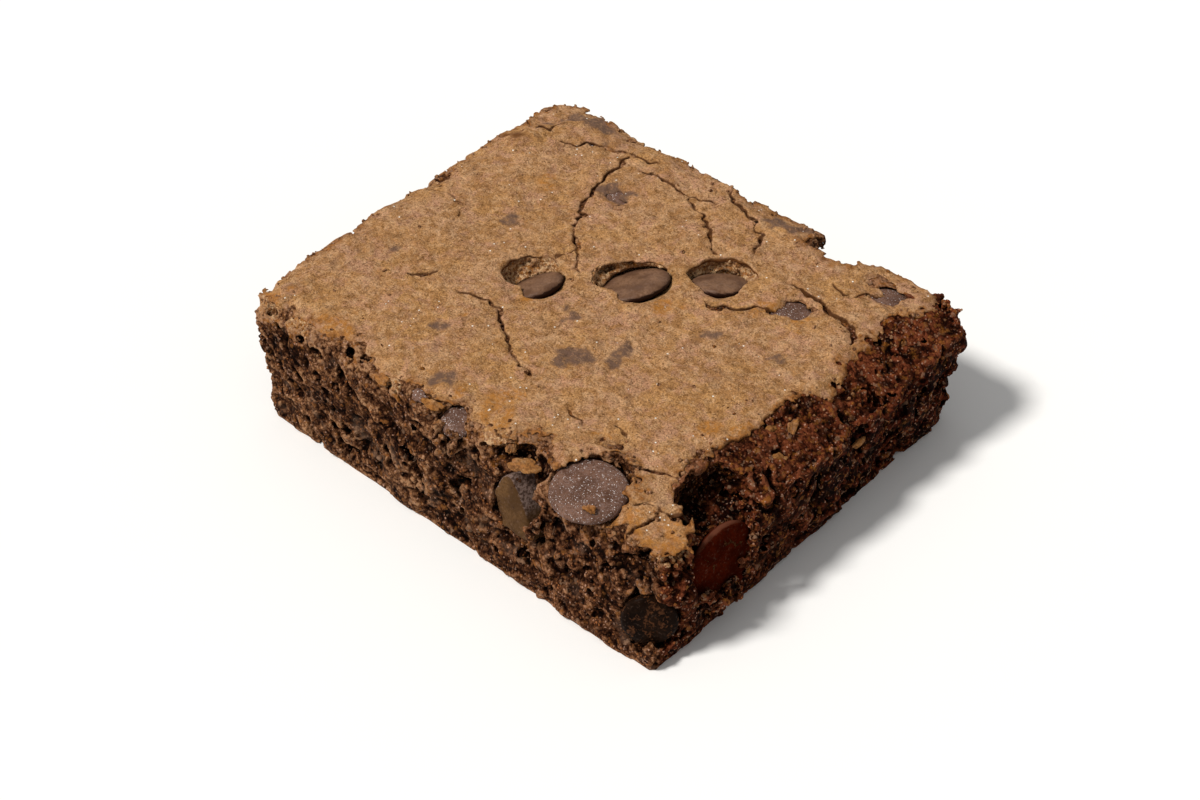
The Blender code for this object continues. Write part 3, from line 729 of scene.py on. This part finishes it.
def crumb_wedge(grid, values, maps, side, material):
    """The quarter of the crumb that belongs to one cut side, up to the diagonals of the plan."""
    name, across, outward = side
    x, y = grid.axis(0), grid.axis(1)
    plan = [x[:, None] / x[-1], y[None, :] / y[-1]]
    diagonal = (np.abs(plan[across]) - outward * plan[1 - across]) * y[-1]
    wedge = np.maximum(values, diagonal[:, :, None] - SEAM_OVERLAP)
    points, faces = sound_parts(*surface_of(grid, wedge), CRUMB_SCRAP)
    piece = piece_from(f"crumb_{name}", points, faces, material, flat=True)
    where = points_of(piece)
    give(piece, **{key: grid.sample(volume, where) for key, volume in maps.items()})
    return piece


class Nodes:
    """A short way to write a material's nodes. It holds the colour and the normal that are built so far."""

    def __init__(self, name):
        self.material = bpy.data.materials.new(name)
        self.material.use_nodes = True
        self.tree = self.material.node_tree
        self.place = self.node("TexCoord").outputs["Object"]
        self.colour = self.normal = None

    def node(self, kind, settings=(), **inputs):
        made = self.tree.nodes.new("ShaderNode" + kind)
        for key, value in dict(settings).items():
            setattr(made, key, value)
        for key, value in inputs.items():
            self.put(made.inputs[int(key[1:]) if key[1:].isdigit() else key.replace("_", " ")], value)
        return made

    def put(self, socket, value):
        if isinstance(value, bpy.types.NodeSocket):
            self.tree.links.new(value, socket)
        elif isinstance(value, bpy.types.Node):
            self.tree.links.new(value.outputs[0], socket)
        else:
            socket.default_value = value

    def noise(self, size, detail=2, roughness=0.5, warp=0):
        return self.node(
            "TexNoise",
            Vector=self.place, Scale=1 / (size * MM), Detail=detail, Roughness=roughness, Distortion=warp,
        ).outputs["Fac"]

    def cells(self, size, warp=0):
        """Random cells of a given size: the distance from each one's middle, and its three chances."""
        push = self.node("TexNoise", Vector=self.place, Scale=0.9 / (size * MM), Detail=2)
        where = self.node(
            "VectorMath", {"operation": "MULTIPLY_ADD"},
            _0=push.outputs["Color"], _1=(warp * size * MM,) * 3, _2=self.place,
        )
        made = self.node("TexVoronoi", Vector=where, Scale=1 / (size * MM)).outputs
        return made["Distance"], self.node("SeparateColor", Color=made["Color"]).outputs

    def read(self, name):
        return self.node("Attribute", {"attribute_name": name}).outputs["Fac"]

    def span(self, value, low, high, to_low=0, to_high=1):
        return self.node(
            "MapRange", {"interpolation_type": "SMOOTHSTEP"},
            Value=value, From_Min=low, From_Max=high, To_Min=to_low, To_Max=to_high,
        ).outputs[0]

    def math(self, operation, a, b):
        return self.node("Math", {"operation": operation}, _0=a, _1=b).outputs[0]

    def plus(self, *values):
        return reduce(partial(self.math, "ADD"), values)

    def less(self, *values):
        return reduce(partial(self.math, "SUBTRACT"), values)

    def times(self, *values):
        return reduce(partial(self.math, "MULTIPLY"), values)

    def mix(self, share, a, b, kind="MIX"):
        made = self.node("Mix", {"data_type": "RGBA", "blend_type": kind})
        for index, value in ((0, share), (6, a), (7, b)):
            self.put(made.inputs[index], (*value, 1) if isinstance(value, tuple) else value)
        return made.outputs[2]

    def paint(self, share, colour, kind="MIX"):
        self.colour = self.mix(share, self.colour, colour, kind)

    def ramp(self, value, stops):
        made = self.node("ValToRGB", Fac=value)
        ramp = made.color_ramp
        while len(ramp.elements) < len(stops):
            ramp.elements.new(0.5)
        for element, (at, colour) in zip(ramp.elements, stops):
            element.position = at
            element.color = (*colour, 1)
        return made.outputs[0]

    def bump(self, height, reach):
        made = self.node("Bump", Strength=1, Distance=reach * MM, Height=height)
        if self.normal is not None:
            self.put(made.inputs["Normal"], self.normal)
        self.normal = made.outputs[0]

    def finish(self, roughness, gloss):
        shader = self.tree.nodes["Principled BSDF"]
        self.put(shader.inputs["Base Color"], self.colour)
        self.put(shader.inputs["Roughness"], roughness)
        self.put(shader.inputs["Normal"], self.normal)
        self.put(shader.inputs["Specular IOR Level"], gloss)
        return self.material


# What mottles the crust, from broad to fine: its noise, the span of it that counts, the most, the colour.
MOTTLES = (
    ((3.6, 4, 0.6, 0.4), 0.46, 0.6, 0.75, (0.48, 0.252, 0.156)),
    ((2.2, 4, 0.65, 0.6), 0.4, 0.62, 0.85, (0.375, 0.183, 0.066)),
    ((4.2, 5, 0.7), 0.55, 0.68, 0.42, (0.24, 0.14, 0.092)),
    ((1.3, 4, 0.75), 0.47, 0.64, 0.5, (0.64, 0.394, 0.216)),
    ((0.5, 3, 0.75), 0.565, 0.61, 0.7, (0.17, 0.075, 0.022)),
)


def crust_material():
    """Tan, dry and papery, mottled pink and gold, with sugar glints painted as highlights, dark marks,
    cracks darkened partly as painted shade, and amber edges.
    """
    n = Nodes("crust")
    n.colour = n.mix(n.span(n.noise(9, 3, 0.55), 0.38, 0.62), (0.486, 0.254, 0.098), (0.505, 0.284, 0.147))
    for kind, low, high, most, colour in MOTTLES:
        n.paint(n.span(n.noise(*kind), low, high, 0, most), colour)
    for size, width in ((1.5, 0.024), (0.8, 0.03)):
        squiggle = n.math("ABSOLUTE", n.less(n.noise(size, 4, 0.75, 1.2), 0.5), 0)
        squiggle = n.span(squiggle, width, width / 5)
        n.paint(n.times(squiggle, n.span(n.noise(1.7, 3), 0.46, 0.58, 0, 0.6)), (0.12, 0.046, 0.013))
    grit = n.span(n.noise(0.26, 3, 0.7), 0.32, 0.68, 0.7, 1.3)
    n.paint(1, n.node("CombineColor", Red=grit, Green=grit, Blue=grit), "MULTIPLY")
    amber = n.times(n.read("amber"), n.span(n.noise(0.8, 4, 0.7), 0.42, 0.58, 0.1, 0.75))
    n.paint(amber, (0.45, 0.18, 0.032))
    rim = n.times(n.span(n.read("edge"), -1.6, -0.1), n.span(n.noise(1.1, 4, 0.7), 0.36, 0.56, 0.2, 1))
    n.paint(rim, n.mix(n.span(n.noise(0.5, 3), 0.4, 0.6), (0.14, 0.05, 0.014), (0.36, 0.145, 0.04)))
    stain = n.times(n.read("stain"), n.span(n.noise(0.8, 4, 0.7), 0.34, 0.56, 0.45, 0.9))
    n.paint(stain, n.mix(n.noise(0.5, 2), (0.085, 0.046, 0.034), (0.19, 0.115, 0.085)))
    # Dark in the cracks: partly the crumb's own colour and partly painted shade in the crevice.
    n.paint(n.times(n.span(n.read("crack"), -0.18, 0.02), 0.9), (0.075, 0.026, 0.009))
    broken = n.mix(n.noise(0.8, 2), (0.24, 0.092, 0.026), (0.08, 0.03, 0.011))
    n.paint(n.span(n.read("below"), 0.14, 0.45), broken)
    # Painted highlights: sugar glints painted as near-white specks, thicker where the glint marks lie.
    off, chances = n.cells(0.75)
    crowd = n.less(n.span(n.noise(7, 2), 0.42, 0.68, 0.985, 0.86), n.times(n.read("glint"), 0.42))
    glint = n.times(n.math("LESS_THAN", off, 0.17), n.math("GREATER_THAN", chances[0], crowd))
    n.paint(glint, (0.9, 0.84, 0.74))
    roughness = n.mix(glint, n.mix(n.noise(1.2, 2), (0.65,) * 3, (0.85,) * 3), (0.25,) * 3)
    n.bump(n.noise(0.9, 5, 0.75), 0.3)
    n.bump(n.noise(0.26, 3, 0.7), 0.2)
    return n.finish(roughness, 0.05)


# The crumb's colour for each shade value: painted shade from near black in the pores to tan on the grains
# that stand proud.
CRUMB_SHADES = (
    (0.05, (0.003, 0.0012, 0.0007)), (0.28, (0.022, 0.007, 0.0034)), (0.5, (0.086, 0.034, 0.015)),
    (0.72, (0.215, 0.097, 0.045)), (0.92, (0.44, 0.235, 0.12)),
)


def crumb_material():
    """Torn crumb: near black in its pores, brown on its lumps and tan on the grains that stand proud.
    The dark of its pores and crevices is painted shade, its bright specks are painted highlights, the +X
    side is painted darker and redder partly as shade, and the pit walls are painted lighter as painted
    light.
    """
    n = Nodes("crumb")
    baked, streak, tone = n.read("baked"), n.read("streak"), n.read("tone")
    proud = n.span(n.read("relief"), 0.7, 0.3)
    free = n.span(n.read("shut"), 0.64, 0.48)
    moist = n.times(n.read("moist"), n.span(baked, 0.2, 1, 1, 0.85))
    from_grain, chances = n.cells(0.5, 1.2)
    from_clump, _ = n.cells(1.4, 1)
    # Painted shade: darker towards the edges of grains and clumps, in the crevices between them.
    crevice = n.plus(n.span(from_grain, 0.4, 0.8, 0, 0.2), n.span(from_clump, 0.5, 0.85, 0, 0.14))
    # Painted shade: lighter where the crumb stands proud and open, darker in its pores and hollows.
    shade = n.plus(
        n.times(proud, n.plus(n.times(free, 0.45), 0.15)),
        n.times(streak, 0.05),
        n.span(moist, 0, 1, 0.16, 0.18),
        n.times(n.less(n.noise(0.4, 4, 0.75), 0.5), 1.4),
        n.less(n.times(n.less(chances[0], 0.45), 0.34), crevice),
        n.times(n.less(n.noise(4, 3, 0.6), 0.5), 0.9),
        n.times(tone, n.span(moist, 0, 1, 0.12, 0.24)),
        n.times(baked, 0.24),
    )
    n.colour = n.ramp(shade, CRUMB_SHADES)
    ashen = n.times(n.span(n.noise(3.4, 3, 0.6), 0.5, 0.62), n.span(streak, 0.3, 1.3, 0, 0.7), proud)
    n.paint(ashen, (0.15, 0.098, 0.07))
    # Painted shade: the +X side darker and redder.
    n.paint(n.span(moist, 0, 0.8, 0, 0.9), (0.4, 0.15, 0.1), "MULTIPLY")
    n.paint(n.span(moist, 0.8, 1), (0.74, 0.6, 0.6), "MULTIPLY")
    # Painted shade: near-black patches on the +X side that stand for shaded hollows.
    painted_hollow_shade = n.times(moist, n.span(n.noise(2.4, 4, 0.65, 0.5), 0.5, 0.58, 0, 0.85))
    n.paint(painted_hollow_shade, (0.005, 0.0016, 0.001))
    fleck = n.math("MAXIMUM", n.span(tone, 0.76, 0.92), n.span(chances[1], 0.88, 0.93))
    warm = n.mix(n.span(chances[2], 0.35, 0.65), (0.3, 0.115, 0.03), (0.31, 0.18, 0.11))
    n.paint(n.times(fleck, proud, 0.7), warm)
    # Painted highlights: small bright specks on the grains that stand proud.
    from_speck, luck = n.cells(0.36, 0.8)
    lit = n.times(
        n.span(from_speck, 0.46, 0.28),
        n.span(n.plus(luck[0], n.times(moist, 0.1)), 0.72, 0.82),
        n.plus(n.times(proud, 0.85), 0.1),
        n.less(1, n.times(painted_hollow_shade, 0.9)),
    )
    n.paint(lit, n.mix(n.span(luck[1], 0.35, 0.65), (0.4, 0.14, 0.045), (0.52, 0.3, 0.21)))
    amber = n.span(n.noise(1.4, 4, 0.65), 0.55, 0.66, 0, 0.8)
    n.paint(n.times(amber, n.plus(n.times(baked, 0.9), 0.15), proud), (0.33, 0.12, 0.02))
    # Golden crumb; in the pits also painted light on the torn walls.
    golden_and_pit_light = n.times(n.span(baked, 1.1, 1.9, 0, 0.95), n.span(n.noise(0.55, 4, 0.75), 0.44, 0.53))
    n.paint(golden_and_pit_light, n.mix(n.span(luck[2], 0.2, 0.9), (0.4, 0.17, 0.05), (0.78, 0.52, 0.29)))
    n.bump(n.span(from_clump, 0.9, 0.1), 0.2)
    n.bump(n.span(from_grain, 0.9, 0.1), 0.13)
    n.bump(n.noise(0.35, 4, 0.75), 0.36)
    return n.finish(0.7, 0.02)


Chocolate = namedtuple("Chocolate", "dark light bloom roughness gloss frost crumbs")
CHOCOLATES = {
    "plain": Chocolate((0.085, 0.038, 0.018), (0.175, 0.09, 0.046), 0.15, 0.45, 0.08, 0, 0.3),
    "pit": Chocolate((0.105, 0.05, 0.026), (0.215, 0.115, 0.064), 0.12, 0.42, 0.1, 0, 0),
    "frosted": Chocolate((0.08, 0.038, 0.024), (0.175, 0.092, 0.062), 0.22, 0.5, 0.06, 0.66, 0),
    "cut": Chocolate((0.058, 0.027, 0.009), (0.11, 0.054, 0.019), 0.05, 0.5, 0.03, 0, 0.1),
    "dark": Chocolate((0.024, 0.0024, 0.0006), (0.054, 0.0056, 0.0012), 0, 0.4, 0, 0, 0.2),
    # Painted shade: the chip in the hollow at the near corner is painted near black.
    "hollow_shade": Chocolate((0.005, 0.0022, 0.0012), (0.014, 0.006, 0.003), 0, 0.4, 0.02, 0, 0.6),
}
FROSTED_SHADES = ((0.07, 0.042, 0.032), (0.22, 0.15, 0.125))
# Painted shade for the sides of the pit chips.
PIT_RIM_SHADE = (0.022, 0.008, 0.005)
# Painted highlight for the upward faces of the dark chip.
DARK_RIM_HIGHLIGHT = (0.11, 0.036, 0.02)
STUCK_CRUMB = ((0.012, 0.004, 0.002), (0.085, 0.033, 0.014))
# The chips that wear each. The others are plain.
WORN = {
    "pit": ("pit_left", "pit_middle", "pit_right"),
    "frosted": (
        "near_edge", "far_corner", "under_crust", "left_edge", "right_corner", "crust_far", "far_edge",
    ),
    "cut": ("cut_side",), "dark": ("right_side",), "hollow_shade": ("near_corner",),
}


def chocolate_material(name):
    """Chocolate in two shades, under a share of grey bloom. Frost is how thickly sugar sparkles on it,
    painted as near-white specks that are partly the sugar's own colour and partly painted highlight, and
    crumbs how much crumb sticks to it. The pit chips get painted shade on their sides and the dark chip a
    painted highlight on top."""
    look = CHOCOLATES[name]
    n = Nodes(f"chocolate_{name}")
    n.colour = n.mix(n.span(n.noise(3, 3), 0.35, 0.65), look.dark, look.light)
    n.paint(n.span(n.noise(1.6, 4, 0.65), 0.3, 0.66, 0, look.bloom), (0.2, 0.13, 0.115))
    n.paint(n.span(n.noise(0.4, 3, 0.7), 0.55, 0.68, 0, look.bloom + 0.15), (0.26, 0.165, 0.125))
    n.paint(n.span(n.noise(0.35, 3, 0.7), 0.52, 0.4, 0, 0.65), look.dark)
    # Painted sparkle: near-white sugar specks, partly the frost's own colour and partly painted highlight.
    off, chances = n.cells(0.21, 0.5)
    sparkle = n.times(n.math("LESS_THAN", off, 0.34), n.math("GREATER_THAN", chances[0], 1 - look.frost))
    bright = n.mix(n.span(chances[1], 0.58, 0.95), (0.215, 0.155, 0.142), (0.78, 0.72, 0.7))
    n.paint(n.times(sparkle, 0.85), bright)
    normal = n.node("NewGeometry").outputs["Normal"]
    facing = n.node("SeparateXYZ", Vector=normal).outputs
    # Painted shade on the pit chips' sides, which face away from above.
    if name == "pit":
        n.paint(n.span(facing["Z"], 0.8, 0.45), PIT_RIM_SHADE)
    # Painted highlight on the faces of the dark chip that turn upwards.
    if name == "dark":
        n.paint(n.span(facing["Z"], 0.62, 0.95), DARK_RIM_HIGHLIGHT)
    if name == "cut":
        high_up = n.span(n.node("SeparateXYZ", Vector=n.place).outputs["Z"], 11.5 * MM, 13.5 * MM)
        frost = n.mix(n.span(n.noise(0.4, 3, 0.7), 0.4, 0.6), *FROSTED_SHADES)
        n.paint(n.times(n.span(facing["Y"], -0.8, -0.58), high_up), frost)
    n.bump(n.noise(0.9, 3, 0.6), 0.08)
    n.bump(n.noise(0.3, 2), 0.03)
    if look.crumbs:
        stuck = n.span(n.noise(1.6, 5, 0.7), 0.64 - 0.16 * look.crumbs, 0.67 - 0.16 * look.crumbs)
        n.paint(stuck, n.mix(n.span(n.noise(0.4, 3, 0.7), 0.42, 0.6), *STUCK_CRUMB))
        n.bump(n.times(stuck, n.noise(0.6, 4, 0.7)), 0.6)
    return n.finish(look.roughness, look.gloss)


def dress_chips(chocolates):
    """Shows the CAD chips, rounded, in the chocolate that each wears."""
    worn = {f"chip_{chip}": look for look, chips in WORN.items() for chip in chips}
    for name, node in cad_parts.items():
        if name == "brownie":
            continue
        node.data.materials.clear()
        node.data.materials.append(chocolates[worn.get(name, "plain")])
        weld = node.modifiers.new("weld", "WELD")
        weld.merge_threshold = 0.01 * MM
        rounded = node.modifiers.new("rounded", "SUBSURF")
        rounded.levels = rounded.render_levels = 2


def unit_ball(subdivisions):
    bm = bmesh.new()
    bmesh.ops.create_icosphere(bm, subdivisions=subdivisions, radius=1)
    points = np.array([v.co for v in bm.verts])
    faces = np.array([[v.index for v in f.verts] for f in bm.faces])
    bm.free()
    return points, faces


def joined_blobs(blobs):
    """One mesh from many, each given as its points and triangles, and which blob each point is of."""
    points = np.concatenate([blob[0] for blob in blobs])
    counts = [len(blob[0]) for blob in blobs]
    starts = np.cumsum([0, *counts[:-1]])
    faces = np.concatenate([blob[1] + start for blob, start in zip(blobs, starts)])
    return points, faces, np.repeat(np.arange(len(blobs)), counts)


def flake_blob(place, radii, tilt, heading, _):
    """A thin, uneven plate with a broken edge."""
    points, faces = unit_ball(4)
    flat = points.copy()
    angle = np.arctan2(points[:, 1], points[:, 0])
    ragged = np.ones(len(points))
    for waves, share in ((2, 0.13), (3, 0.12), (5, 0.08), (8, 0.06), (13, 0.04)):
        ragged += share * np.sin(waves * angle + rng.uniform(0, 2 * math.pi))
    flat[:, 2] = np.sign(points[:, 2]) * np.abs(points[:, 2]) ** 0.4
    flat[:, :2] *= ragged[:, None]
    wave = 0.5 * np.sin(3 * flat[:, 0] + rng.uniform(0, 6)) * np.cos(2.4 * flat[:, 1] + rng.uniform(0, 6))
    flat[:, 2] += wave + 0.12 * rng.standard_normal(len(points))
    lean = Matrix.Rotation(math.radians(tilt), 3, "Y")
    turn = Matrix.Rotation(math.radians(heading), 3, "Z")
    return flat * radii @ np.array(turn @ lean).T + place, faces


def build_flakes(crust_look, frosted):
    """Flakes of crust and shards of chips that lie on the broken edges."""
    points, faces, of = joined_blobs([flake_blob(*flake) for flake in FLAKES])
    piece = piece_from("flakes", points, faces, crust_look)
    ambers = np.array([flake[-1] for flake in FLAKES])
    give(piece, edge=-0.6, crack=-FAR, stain=0, glint=0, below=0, amber=ambers[of])
    points, faces, _ = joined_blobs([flake_blob(*shard) for shard in SHARDS])
    piece_from("shards", points, faces, frosted)


def build_loose(pieces, material):
    """Loose crumbs that lie about the crust's edges and in its hollows."""
    sites = np.concatenate([points_of(piece) for piece in pieces])
    ways = np.concatenate([rows_of(piece.data.vertices, "normal") for piece in pieces])
    gap = outline_distance(sites[:, 0] - PLAN_SHIFT[0], sites[:, 1] - PLAN_SHIFT[1], CRUST_OUTLINE)
    wanted = (ways[:, 2] > 0.4) & (sites[:, 2] > TOP_FROM)
    share = wanted * (0.03 + np.exp(-np.abs(gap) / 1.8))
    found = sites[rng.choice(len(sites), LOOSE_CRUMBS, replace=False, p=share / share.sum())]
    sizes = rng.uniform(0.14, 0.36, LOOSE_CRUMBS)
    ball, faces = unit_ball(2)
    blobs = []
    for place, size in zip(found, sizes):
        lumpy = 1 + 0.15 * rng.standard_normal((len(ball), 1))
        blobs.append((ball * lumpy * size * rng.uniform(0.5, 1.2, 3) @ random_turn() + place, faces))
    points, faces, of = joined_blobs(blobs)
    piece = piece_from("loose_crumbs", points, faces, material)
    tones = rng.uniform(-1, 1, len(blobs))
    give(piece, relief=0.42, shut=0.4, streak=0, baked=1, moist=0, tone=tones[of])


def add_stage():
    material = bpy.data.materials.new("floor")
    material.use_nodes = True
    shader = material.node_tree.nodes["Principled BSDF"]
    shader.inputs["Base Color"].default_value = (0.93, 0.93, 0.93, 1)
    shader.inputs["Roughness"].default_value = 0.9
    floor = placed("floor", bpy.data.meshes.new("floor"))
    reach = 4
    corners = [(-reach, -reach, 0), (reach, -reach, 0), (reach, reach, 0), (-reach, reach, 0)]
    floor.data.from_pydata(corners, [], [(0, 1, 2, 3)])
    floor.data.materials.append(material)


def add_light():
    world = bpy.data.worlds.new("studio")
    bpy.context.scene.world = world
    world.use_nodes = True
    back = world.node_tree.nodes["Background"]
    back.inputs["Color"].default_value = (1.0, 0.99, 0.97, 1)
    back.inputs["Strength"].default_value = FILL_POWER
    light = bpy.data.lights.new("key", "SUN")
    light.energy = KEY_POWER
    light.angle = math.radians(KEY_SPREAD)
    light.color = (1.0, 0.97, 0.92)
    placed("key", light).rotation_euler = Vector(KEY_FROM).to_track_quat("Z", "Y").to_euler()


def add_camera():
    camera = placed("camera", bpy.data.cameras.new("camera"))
    camera.data.lens = CAMERA_LENS
    camera.data.sensor_width = CAMERA_SENSOR
    camera.data.clip_start = 0.01
    azimuth, elevation = math.radians(CAMERA_AZIMUTH), math.radians(CAMERA_ELEVATION)
    turn = Matrix.Rotation(azimuth, 4, "Z") @ Matrix.Rotation(math.pi / 2 - elevation, 4, "X")
    camera.matrix_world = Matrix.Translation(Vector(CAMERA_PLACE) * MM) @ turn
    bpy.context.scene.camera = camera


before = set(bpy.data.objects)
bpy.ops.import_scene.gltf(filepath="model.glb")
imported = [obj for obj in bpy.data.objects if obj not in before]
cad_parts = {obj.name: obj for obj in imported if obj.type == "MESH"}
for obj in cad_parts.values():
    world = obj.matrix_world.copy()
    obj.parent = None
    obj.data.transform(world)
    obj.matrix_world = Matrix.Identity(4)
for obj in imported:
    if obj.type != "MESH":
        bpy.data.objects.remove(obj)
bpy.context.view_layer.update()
slab_mesh = cad_mesh("brownie")
chip_meshes = {name: cad_mesh(name) for name in sorted(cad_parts) if name != "brownie"}
crumb_look, crust_look = crumb_material(), crust_material()
chocolates = {name: chocolate_material(name) for name in CHOCOLATES}
quarters = build_crumb(slab_mesh, chip_meshes, crumb_look)
for quarter in quarters:
    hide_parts("brownie")
crust = build_crust(slab_mesh, chip_meshes, crust_look)
build_flakes(crust_look, chocolates["frosted"])
build_loose([crust, *quarters], crumb_look)
dress_chips(chocolates)
add_stage()
add_light()
add_camera()
bpy.context.scene.view_settings.view_transform = "Standard"
